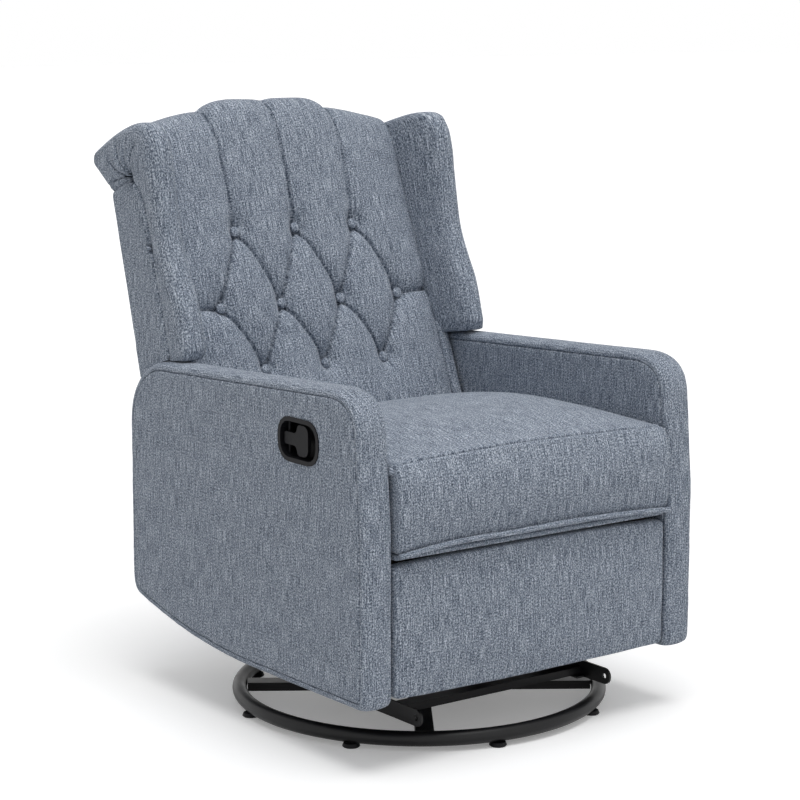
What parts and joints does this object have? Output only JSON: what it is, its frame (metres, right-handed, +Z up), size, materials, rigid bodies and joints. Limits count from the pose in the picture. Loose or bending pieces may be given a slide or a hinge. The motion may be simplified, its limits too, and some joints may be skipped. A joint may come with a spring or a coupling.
{
  "type": "swivel glider recliner",
  "caption": "Padded reclining chair with tufted wing back, lever-released footrest, gliding seat and swivelling round tube base.",
  "frame": {"origin": "middle of the footprint box, on the floor; the swivel axis is 102.3 mm nearer the front, at x = 0, y = -0.1023 m", "axes": "+Z up, the sitter faces -Y, the sitter's right hand and the release handle are at -X"},
  "size_m": [0.6967, 0.8646, 1.0194],
  "materials": {
    "fabric": "heathered woven upholstery",
    "black_metal": "gloss black paint",
    "steel": "bare steel",
    "black_plastic": "satin moulded plastic",
    "wood": "unfinished"
  },
  "bodies": {
    "base": {"base_ring": "black_metal", "base_crossbars": "black_metal", "foot_glide_1": "black_plastic", "foot_glide_2": "black_plastic", "foot_glide_3": "black_plastic", "foot_glide_4": "black_plastic", "foot_glide_5": "black_plastic", "foot_glide_6": "black_plastic", "foot_glide_7": "black_plastic", "foot_glide_8": "black_plastic", "swivel_lower_plate": "black_metal", "swivel_bearing": "steel"},
    "glider_base": {"swivel_upper_plate": "black_metal", "cross_member_front": "black_metal", "cross_member_middle": "black_metal", "cross_member_rear": "black_metal", "base_rail_right": "black_metal", "base_rail_left": "black_metal", "front_hanger_right": "black_metal", "front_hanger_left": "black_metal", "rear_hanger_right": "black_metal", "rear_hanger_left": "black_metal"},
    "front_glide_links": {"front_glide_link_right": "black_metal", "front_glide_link_left": "black_metal"},
    "rear_glide_links": {"rear_glide_link_right": "black_metal", "rear_glide_link_left": "black_metal"},
    "seat_unit": {"carriage_plate_right": "black_metal", "carriage_plate_left": "black_metal", "side_plate_right": "black_metal", "side_plate_left": "black_metal", "arm_right": "fabric", "arm_left": "fabric", "seat_frame": "wood", "seat_deck": "wood", "front_rail": "fabric", "seat_cushion": "fabric", "rear_panel": "fabric", "handle_cup": "black_plastic"},
    "backrest": {"back_board": "wood", "back_cushion": "fabric", "outside_back": "fabric", "wing_right": "fabric", "wing_left": "fabric", "recline_bracket_right": "black_metal", "recline_bracket_left": "black_metal"},
    "main_links": {"footrest_main_links": "black_metal"},
    "control_links": {"footrest_control_link_right": "black_metal", "footrest_control_link_left": "black_metal"},
    "lift_links": {"footrest_lift_link_right": "black_metal", "footrest_lift_link_left": "black_metal"},
    "drive_links": {"footrest_drive_link_right": "black_metal", "footrest_drive_link_left": "black_metal"},
    "footrest": {"footrest_bracket_right": "black_metal", "footrest_bracket_left": "black_metal", "footrest_board": "wood", "footrest_panel": "fabric"},
    "release_handle": {"release_paddle": "black_plastic"}
  },
  "joints": [
    {"name": "swivel", "type": "hinge", "parent": "base", "child": "glider_base", "pos_m": [0, -0.1023, 0.03], "axis": [0, 0, 1], "continuous": true},
    {"name": "glide", "type": "hinge", "parent": "glider_base", "child": "front_glide_links", "pos_m": [0, -0.2123, 0.225], "axis": [1, 0, 0], "range_deg": [-8, 8]},
    {"name": "glide_rear", "type": "hinge", "parent": "glider_base", "child": "rear_glide_links", "pos_m": [0, 0.0077, 0.225], "axis": [1, 0, 0], "range_deg": [-8, 8]},
    {"name": "glide_level", "type": "hinge", "parent": "front_glide_links", "child": "seat_unit", "pos_m": [0, -0.2123, 0.105], "axis": [1, 0, 0], "range_deg": [-8, 8]},
    {"name": "recline", "type": "hinge", "parent": "seat_unit", "child": "backrest", "pos_m": [0, 0.1377, 0.4], "axis": [-1, 0, 0], "range_deg": [0, 35]},
    {"name": "footrest_open", "type": "hinge", "parent": "seat_unit", "child": "main_links", "pos_m": [0, -0.2423, 0.305], "axis": [-1, 0, 0], "range_deg": [0, 100]},
    {"name": "footrest_control", "type": "hinge", "parent": "seat_unit", "child": "control_links", "pos_m": [0, -0.18321, 0.29458], "axis": [-1, 0, 0], "range_deg": [0, 100]},
    {"name": "footrest_lift", "type": "hinge", "parent": "main_links", "child": "lift_links", "pos_m": [0, -0.1007, 0.13014], "axis": [-1, 0, 0], "range_deg": [-100, 0]},
    {"name": "footrest_drive", "type": "hinge", "parent": "main_links", "child": "drive_links", "pos_m": [0, -0.12183, 0.16987], "axis": [-1, 0, 0], "range_deg": [-100, 0]},
    {"name": "footrest_tilt", "type": "hinge", "parent": "lift_links", "child": "footrest", "pos_m": [0, -0.3303, 0.262], "axis": [-1, 0, 0], "range_deg": [0, 100]},
    {"name": "release", "type": "hinge", "parent": "seat_unit", "child": "release_handle", "pos_m": [-0.336, -0.2043, 0.5125], "axis": [0, 0, -1], "range_deg": [0, 25], "stiffness_Nm_per_rad": 0.5, "springref_deg": -11.46}
  ],
  "couplings": [
    {"joint": "glide_rear", "follows": "glide", "ratio": 1},
    {"joint": "glide_level", "follows": "glide", "ratio": -1},
    {"joint": "footrest_control", "follows": "footrest_open", "ratio": 1},
    {"joint": "footrest_lift", "follows": "footrest_open", "ratio": -1},
    {"joint": "footrest_drive", "follows": "footrest_open", "ratio": -1},
    {"joint": "footrest_tilt", "follows": "footrest_open", "ratio": 1}
  ]
}
